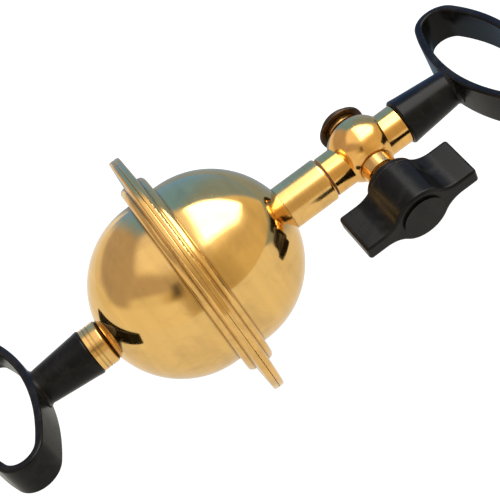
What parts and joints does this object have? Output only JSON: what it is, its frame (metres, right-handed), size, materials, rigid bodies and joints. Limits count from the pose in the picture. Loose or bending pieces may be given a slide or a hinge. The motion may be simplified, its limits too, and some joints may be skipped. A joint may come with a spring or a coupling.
{
  "type": "magdeburg hemisphere pair",
  "caption": "Two flanged brass hemispheres with ground faces, one with a taper plug tap for pumping out, each pulled by a black hand loop.",
  "frame": {"origin": "centre of the closed pair's bounding box, on the common axis, 25.65 mm from the joint face towards the tap", "axes": "+X along the common axis towards the tap's end, +Y away from the tap's knob in the plane of the two hand loops, +Z normal to that plane"},
  "size_m": [0.2762, 0.114, 0.114],
  "materials": {
    "polished_brass": "mirror polished and lacquered, with faint turning marks",
    "turned_brass": "turned and polished, fine rings round the axis",
    "tarnished_brass": "unpolished, browned with age",
    "black_moulding": "moulded, semi-gloss black",
    "brown_cap": "satin brown-black",
    "seal_leather": "greased leather"
  },
  "bodies": {
    "blind_half": {"left_dome": "polished_brass", "left_flange": "polished_brass", "left_boss": "turned_brass", "left_stud": "turned_brass"},
    "blind_handle": {"left_handle": "black_moulding", "left_handle_insert": "turned_brass"},
    "tap_half": {"right_dome": "polished_brass", "right_flange": "polished_brass", "right_boss": "turned_brass", "inlet_seal": "seal_leather", "tap_body": "turned_brass"},
    "tap_key": {"tap_plug": "turned_brass", "plug_washer": "tarnished_brass", "plug_screw": "tarnished_brass", "tap_knob": "black_moulding", "knob_bush": "turned_brass", "knob_screw": "tarnished_brass", "knob_cap": "brown_cap"},
    "tap_handle": {"right_handle": "black_moulding", "right_handle_insert": "turned_brass"}
  },
  "joints": [
    {"name": "halves_part", "type": "slide", "parent": "blind_half", "child": "tap_half", "axis": [1, 0, 0], "range_m": [0, 0.12]},
    {"name": "tap_turn", "type": "hinge", "parent": "tap_half", "child": "tap_key", "pos_m": [0.05935, 0, 0], "axis": [0, -0.9763, -0.2164], "continuous": true},
    {"name": "left_handle_off", "type": "slide", "parent": "blind_half", "child": "blind_handle", "axis": [-1, 0, 0], "range_m": [0, 0.04]},
    {"name": "right_handle_off", "type": "slide", "parent": "tap_half", "child": "tap_handle", "axis": [1, 0, 0], "range_m": [0, 0.1]}
  ]
}
